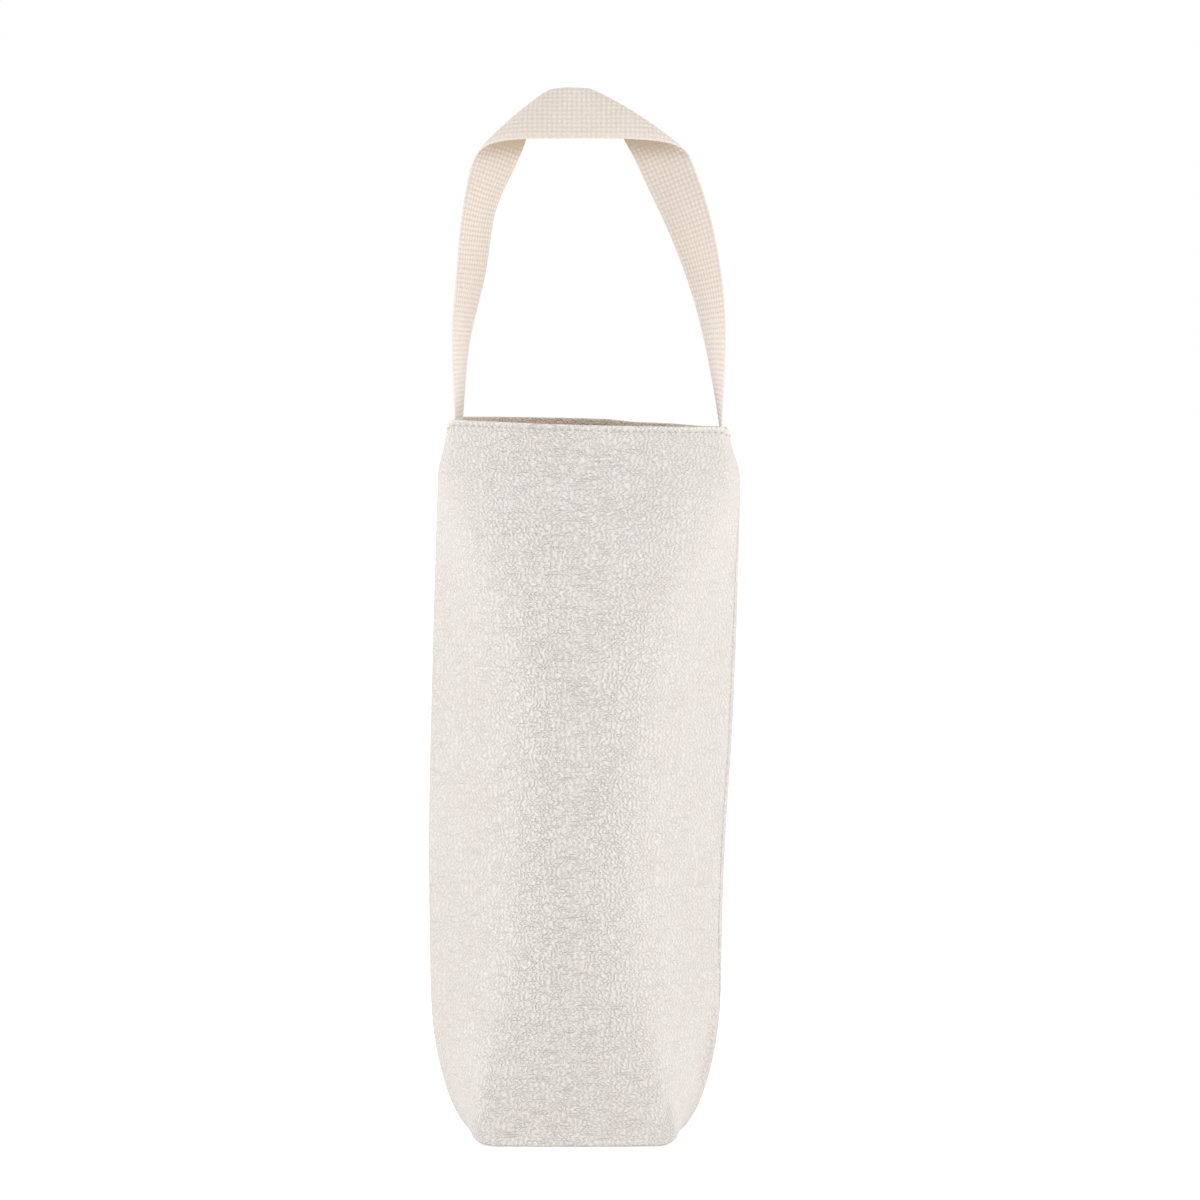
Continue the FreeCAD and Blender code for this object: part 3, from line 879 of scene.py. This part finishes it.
def corner_seam(name, side):
    """A boxed-corner seam: a straight line from front to back at one end of the base."""
    depth = float(section(np.array([0.0]))[2][0]) - end_margin
    edge_x = middle(0.0) + side * (base_half - allowance + overlock_width / 2)
    corner = np.array([[edge_x, -depth, corner_level], [edge_x, depth, corner_level]])
    wrap = sleeve(name + "_corner_edging", corner, -side * sideways, upwards)
    row = along_line(corner + side * seam_inset * sideways + corner_rise * upwards, upwards)
    return [(wrap, name + "_corner_overlock"),
            (stitch_rows(name + "_corner_thread", [row]), name + "_corner_stitching")]


def base_seam():
    """The base seam: a straight line from side to side along the middle of the base."""
    reach = base_half - allowance - end_margin
    ends = np.array([[middle(0.0) - reach, 0, 0], [middle(0.0) + reach, 0, 0]])
    wrap = sleeve("base_edging", ends + (allowance - overlock_width / 2) * upwards, upwards, rearwards)
    rows = [along_line(ends + face * (cloth + clearance) * rearwards + base_stitch_height * upwards,
                       face * rearwards) for face in (-1, 1)]
    return [(wrap, "base_overlock"), (stitch_rows("base_thread", rows), "base_stitching")]


both_sides = (("left", -1), ("right", 1))
bag_pieces = []
for name, side in both_sides:
    bag_pieces += side_seam(name, side) + corner_seam(name, side)
bag_pieces += base_seam()
print("inside pieces", [piece.name for piece, node in bag_pieces])

# %% [markdown]
# ## Tacks
# Each end of the webbing is held by a box of stitches with a slanting line across it, the usual way to sew a
# strap so that it can't peel. The lines lie on the webbing's inner face, a little proud of its knuckles.

# %% Boxes of stitches on the sewn ends
tack_inset = 0.003


def tack(name, side):
    """Five lines between the corners of a box, each bent to the webbing's face."""
    half = webbing_width / 2 - tack_inset
    low, high = rim - sewn_length + tack_inset, rim - tack_inset
    corners = [(-half, low), (half, low), (half, high), (-half, high)]
    share = np.linspace(0, 1, 12)
    rows = []
    for start, end in list(zip(corners, corners[1:] + corners[:1])) + [(corners[0], corners[2])]:
        y, z = start[0] + (end[0] - start[0]) * share, start[1] + (end[1] - start[1]) * share
        x = middle(z) + side * (sewn_face(z) - webbing_thickness - clearance)
        rows.append(along_line(settle(np.stack([x, y, z], 1)), -side * sideways))
    return stitch_rows(name, rows)


for name, side in both_sides:
    bag_pieces.append((tack(name + "_tack", side), "handle_tack_" + name))
print("tack faces", len(bag_pieces[-1][0].data.polygons))

# %% [markdown]
# ## Finishes
# All three finishes are undyed cotton, which is a warm off-white with dull, hairy yarns: high roughness and
# almost no gloss. One function turns a hex colour to linear light, and one adds a node with its settings and
# links. Where a node is given as an input, its first output is meant.

# %% Colours and nodes
cotton_ior = 1.5


def linear(code):
    """sRGB hex to linear: below 0.04045 divide by 12.92, above it a power of 2.4."""
    value = np.array([int(code[i:i + 2], 16) for i in (1, 3, 5)]) / 255
    value = np.where(value <= 0.04045, value / 12.92, ((value + 0.055) / 1.055) ** 2.4)
    return (*value.tolist(), 1.0)


def feed(tree, node, inputs):
    """Gives a node's inputs their values, or links them where the value is a node or a socket."""
    for place, value in inputs.items():
        if isinstance(value, bpy.types.Node):
            value = value.outputs[0]
        if isinstance(value, bpy.types.NodeSocket):
            tree.links.new(value, node.inputs[place])
        else:
            node.inputs[place].default_value = value


def add(tree, kind, inputs, **settings):
    """Adds a node with its settings, and feeds its inputs."""
    node = tree.nodes.new("ShaderNode" + kind)
    for name, value in settings.items():
        setattr(node, name, value)
    feed(tree, node, inputs)
    return node


def new_material(name):
    """An empty material with its Principled shader."""
    material = bpy.data.materials.new(name)
    material.use_nodes = True
    return material, material.node_tree, material.node_tree.nodes["Principled BSDF"]


pale_canvas = "#F5F1ED"
print("pale canvas in linear light", linear(pale_canvas))

# %% [markdown]
# ### Crinkles of the canvas
# Loomstate cotton canvas is a plain weave of unbleached yarn, stiff and matt. Washing crinkles it, so the
# eye sees short wavy ridges up the cloth and hardly any crossing lines. Its yarns are about 0.8 mm apart,
# which is too fine for the picture, so the ridges are drawn three times as coarse. The crinkles are lower
# towards the seams, which hold the cloth taut, and as the grain also sets the tone, it is darker there.

# %% Grain of the canvas
ridge_spacing, ridge_height = 0.0025, 0.26
push_reach = 0.0065
# size across and up the cloth, and detail, of the noises for the ridges' waves, the fibres and the colour
noise_sizes = ((0.0085, 0.0019, 1.0), (0.0011, 0.0016, 2.0), (0.018, 0.024, 3.0))
slack_turn, slack_power, slack_gain, slack_least = 0.13, 3.0, 0.60, 0.50
grain_lift = 0.03


def canvas_grain(tree, uv, across):
    """Height of the crinkles, and the slow noise for the colour.

    A sine across the cloth, pushed aside by noise, makes the ridges, and finer noise the fibres. Their sum is
    multiplied by the slack, which is a least value plus a power of a sine that is nothing near each seam."""
    noises = []
    for wide, high, detail in noise_sizes:
        place = add(tree, "VectorMath", {0: uv, 1: (1 / wide, 1 / high, 0)}, operation="MULTIPLY")
        noises.append(add(tree, "TexNoise", {"Vector": place, "Scale": 1.0, "Detail": detail},
                          noise_dimensions="2D"))
    pushed = add(tree, "Math", {0: noises[0], 1: push_reach, 2: across}, operation="MULTIPLY_ADD")
    turned = add(tree, "Math", {0: pushed, 1: 2 * np.pi / ridge_spacing}, operation="MULTIPLY")
    ridges = add(tree, "Math", {0: turned}, operation="SINE")
    grain = add(tree, "Math", {0: ridges, 1: ridge_height, 2: noises[1]}, operation="MULTIPLY_ADD")
    bow = add(tree, "Math", {0: across, 1: np.pi / flat_width, 2: slack_turn}, operation="MULTIPLY_ADD")
    bow = add(tree, "Math", {0: add(tree, "Math", {0: bow}, operation="SINE")}, operation="ABSOLUTE")
    bow = add(tree, "Math", {0: bow, 1: slack_power}, operation="POWER")
    slack = add(tree, "Math", {0: bow, 1: slack_gain, 2: slack_least}, operation="MULTIPLY_ADD")
    grain = add(tree, "Math", {0: grain, 1: slack, 2: grain_lift}, operation="MULTIPLY_ADD")
    return grain, noises[2]


print("ridges across a panel", round(flat_width / ridge_spacing))

# %% [markdown]
# ### Canvas
# A picture of cloth could be laid on, but here the grain serves for the bump and for the tone, so that light
# and colour agree from every side. The rim's rolled edge is made paler as a painted highlight, and the hem
# turned in behind it is tinted warmer as painted shade.

# %% Canvas finish
rim_highlight_gain, grain_depth = 0.40, 0.00085
# level and colour of both ends of the grain's tone and of the slow cast over it
tone_stops = ((0.15, "#DDD8D5"), (0.85, pale_canvas))
cast_stops = ((0.0, "#FBF8F5"), (1.0, "#FFFFFF"))
wall_length = float(row_length[row_z.argmax()])
rim_highlight_start, rim_highlight_end, hem_shade_end = wall_length - 0.0022, wall_length - 0.0008, wall_length + 0.002


def canvas_finish():
    """Canvas: the grain gives the bump and the tone, and the slow noise a cast over it.

    Close to the rim's top the tone is raised as a painted highlight, and past the top a warm tint is
    mixed in as painted shade."""
    material, tree, shader = new_material("loomstate_cotton_canvas")
    uv = add(tree, "UVMap", {}, uv_map="cloth")
    across, up = add(tree, "SeparateXYZ", {0: uv}).outputs[:2]
    grain, slow = canvas_grain(tree, uv, across)
    # painted highlight: a band just under the rim's top is made paler
    painted_rim_highlight = add(tree, "MapRange", {"Value": up, "From Min": rim_highlight_start, "From Max": rim_highlight_end})
    grain_and_rim_highlight = add(tree, "Math", {0: painted_rim_highlight, 1: rim_highlight_gain, 2: grain}, operation="MULTIPLY_ADD")
    tone = add(tree, "ValToRGB", {"Fac": grain_and_rim_highlight})
    cast = add(tree, "ValToRGB", {"Fac": slow})
    for ramp, stops in ((tone, tone_stops), (cast, cast_stops)):
        for end, (level, colour) in zip(ramp.color_ramp.elements, stops):
            end.position = level
            end.color = linear(colour)
    # painted shade: past the rim's top the turned hem is tinted warm, for the warm shade inside the mouth
    hem_shade_share = add(tree, "MapRange", {"Value": up, "From Min": wall_length, "From Max": hem_shade_end})
    cast_and_hem_shade = add(tree, "Mix", {0: hem_shade_share, 6: cast, 7: linear("#FFF0DB")}, data_type="RGBA")
    shade = add(tree, "Mix", {0: 1.0, 6: tone, 7: cast_and_hem_shade.outputs[2]}, data_type="RGBA", blend_type="MULTIPLY")
    bump = add(tree, "Bump", {"Height": grain, "Strength": 0.9, "Distance": grain_depth})
    feed(tree, shader, {"Base Color": shade.outputs[2], "Normal": bump, "Roughness": 0.92, "IOR": cotton_ior,
                        "Specular IOR Level": 0.15, "Sheen Weight": 0.08, "Sheen Roughness": 0.6})
    return material


canvas = canvas_finish()
print("made", canvas.name)

# %% [markdown]
# ### Webbing and thread
# The webbing is woven from thicker, creamier yarns. Its knuckles are real relief, so the finish adds only
# the fibres, as fine noise, and browner gaps, which are painted shade on top of the relief's own. Through the
# same number it also paints light at the roots and shade under the fold. Sewing thread is spun cotton with
# a slight twist, a shade greyer than the cloth.

# %% Webbing and thread finishes
gap_level, light_level = 0.3, 0.7
fibre_depth = 0.0002


def yarn_finish(name, deep, dark, light, fibre, roughness, weave=0.0):
    """Spun cotton: noise on the piece's own coordinates, plus a share of the weave attribute, on a ramp.

    The ramp goes from the deep colour over the dark one, at the level of the gaps, to the light one. On the
    webbing the deep colour is painted shade under the fold and the dark one painted shade in the gaps."""
    material, tree, shader = new_material(name)
    own = add(tree, "TexCoord", {}).outputs["Object"]
    fibres = add(tree, "TexNoise", {"Vector": own, "Scale": 1 / fibre, "Detail": 4.0, "Roughness": 0.7})
    height = add(tree, "Attribute", {}, attribute_name="weave").outputs["Fac"]
    raised = add(tree, "Math", {0: height, 1: weave, 2: fibres}, operation="MULTIPLY_ADD")
    # the ramp's top is raised to make room for the painted light at the roots
    highest = 1 + weave / 2
    level = add(tree, "MapRange", {"Value": raised, "From Max": highest})
    tone = add(tree, "ValToRGB", {"Fac": level})
    low_end, high_end = tone.color_ramp.elements
    low_end.color, high_end.color = linear(deep), linear(light)
    high_end.position = min(1.0, light_level + weave)
    tone.color_ramp.elements.new(gap_level / highest).color = linear(dark)
    bump = add(tree, "Bump", {"Height": fibres, "Strength": 0.4, "Distance": fibre_depth})
    feed(tree, shader, {"Base Color": tone, "Normal": bump, "Roughness": roughness, "IOR": cotton_ior,
                        "Specular IOR Level": 0.2})
    return material


# on the webbing the deep colour is painted shade under the fold, and the dark one painted shade in the gaps
webbing_yarn = yarn_finish("woven_cotton_webbing", "#DEC29D", "#C5B4A1", "#F8F0EA",
                           fibre=0.0007, roughness=0.9, weave=0.6)
sewing_thread = yarn_finish("spun_cotton_thread", "#B2B0AD", "#BBB9B5", "#D6D4D0",
                            fibre=0.0004, roughness=0.8)
print("made", webbing_yarn.name, "and", sewing_thread.name)

# %% [markdown]
# ## What each piece is in the frame
# Every piece but the webbing follows a body of the frame. Each takes a material slot and stands for the
# solids it replaces, which are hidden. The webbing is left without a body, with its points baked into
# place.

# %% Bodies, slots and sheets
def dress(piece, material, nodes, body="bag"):
    """Gives a piece its finish, the nodes it stands for and, where one is given, its body."""
    piece.data.materials.append(material)
    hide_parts(*nodes)
    if body:
        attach(piece, body)


dress(front_cloth, canvas, ["front_panel"])
dress(back_cloth, canvas, ["back_panel"])
dress(rim_thread, sewing_thread, ["rim_stitching"])
for piece, node in bag_pieces:
    dress(piece, sewing_thread, [node])
dress(handle_webbing, webbing_yarn,
      ["handle_strap", "handle_root_left", "handle_root_right", "handle_end_left", "handle_end_right"], None)
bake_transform(handle_webbing)

# %% [markdown]
# ## A white studio
# The picture is high-key: a white sweep, soft light from both sides and from above, and hardly any shadow.
# The floor and the world are white to the eye, also in a mirror or through glass. To the light they are a
# plain pale diffuser and a soft sky, so that the floor keeps the contact shadow.

# %% Floor and world
floor_half, floor_drop = 6.0, 0.0002
floor_glow = 0.6
sky_strength = 0.692
floor_white, full_white = linear("#FAF9F7"), linear("#FFFFFF")


def seen(tree):
    """1 on rays from the camera, a mirror or through glass, and 0 on others: the largest of three flags."""
    path = add(tree, "LightPath", {}).outputs
    direct = add(tree, "Math", {0: path["Is Camera Ray"], 1: path["Is Glossy Ray"]}, operation="MAXIMUM")
    return add(tree, "Math", {0: direct, 1: path["Is Transmission Ray"]}, operation="MAXIMUM")


def stage_finish():
    """Pale floor: a diffuse white plus, on the rays that are seen, a glow that brings it to white."""
    material, tree, shader = new_material("white_sweep")
    tree.nodes.remove(shader)
    diffuse = add(tree, "BsdfDiffuse", {"Color": floor_white})
    strength = add(tree, "Math", {0: seen(tree), 1: floor_glow}, operation="MULTIPLY")
    both = add(tree, "AddShader", {0: diffuse, 1: add(tree, "Emission", {"Strength": strength})})
    feed(tree, tree.nodes["Material Output"], {"Surface": both})
    return material


corners = np.array([[(-1, -1, 0), (1, -1, 0)], [(-1, 1, 0), (1, 1, 0)]])
floor = grid_object("floor", [(floor_half * corners, np.zeros(2))], weld=0)
floor.location.z = -floor_drop
floor.data.materials.append(stage_finish())

world = bpy.data.worlds.new("studio")
bpy.context.scene.world = world
world.use_nodes = True
tree = world.node_tree
sky = add(tree, "Background", {"Color": full_white, "Strength": sky_strength})
backdrop = add(tree, "Background", {"Color": full_white, "Strength": 1.0})
which = add(tree, "MixShader", {0: seen(tree), 1: sky, 2: backdrop})
feed(tree, tree.nodes["World Output"], {"Surface": which})
print("floor", 2 * floor_half, "m wide, sky strength", sky_strength)

# %% [markdown]
# ### Lamps
# Two square soft boxes stand at the sides, a little in front, and make the walls brighter than the middle.
# The right one is a trace stronger.

# %% Two soft boxes
lamp_place, lamp_target = (1.7, -0.6, 0.28), (0, 0, 0.14)
lamp_size = 1.0
lamp_powers = (18.4, 19.2)


def lamp(name, place, power):
    """A square soft box at a place, turned to the target."""
    light = bpy.data.lights.new(name, "AREA")
    light.size = lamp_size
    light.energy = power
    holder = bpy.data.objects.new(name, light)
    holder.location = place
    holder.rotation_euler = (Vector(lamp_target) - Vector(place)).to_track_quat("-Z", "Y").to_euler()
    bpy.context.scene.collection.objects.link(holder)


for (name, side), power in zip(both_sides, lamp_powers):
    lamp(name + "_box", (side * lamp_place[0], *lamp_place[1:]), power)
print("lamps of", lamp_powers, "watts")

# %% [markdown]
# ## The camera
# The picture was taken from the front with a long lens, a little above the rim: the far side of the mouth
# just shows over the near one. The frame is 1200 pixels square, and the carrier's box gives the scale.

# %% Camera
pixels = 1200
metres_per_pixel = 0.0004573
box_centre_pixel = (582, 613.5)
distance = 6.0
camera_height = 0.613
view_width = pixels * metres_per_pixel
aim = Vector(((pixels / 2 - box_centre_pixel[0]) * metres_per_pixel, 0.0,
              (cad_box[0][2] + cad_box[1][2]) / 2 + (box_centre_pixel[1] - pixels / 2) * metres_per_pixel))
lens = bpy.data.cameras.new("camera")
camera = bpy.data.objects.new("camera", lens)
bpy.context.scene.collection.objects.link(camera)
camera.location = (aim.x, -distance, camera_height)
camera.rotation_euler = (aim - camera.location).to_track_quat("-Z", "Y").to_euler()
lens.sensor_fit = "HORIZONTAL"
lens.lens = lens.sensor_width * (aim - camera.location).length / view_width
bpy.context.scene.camera = camera
bpy.context.scene.view_settings.view_transform = "Standard"
print("lens", round(lens.lens, 1), "mm at", distance, "m")
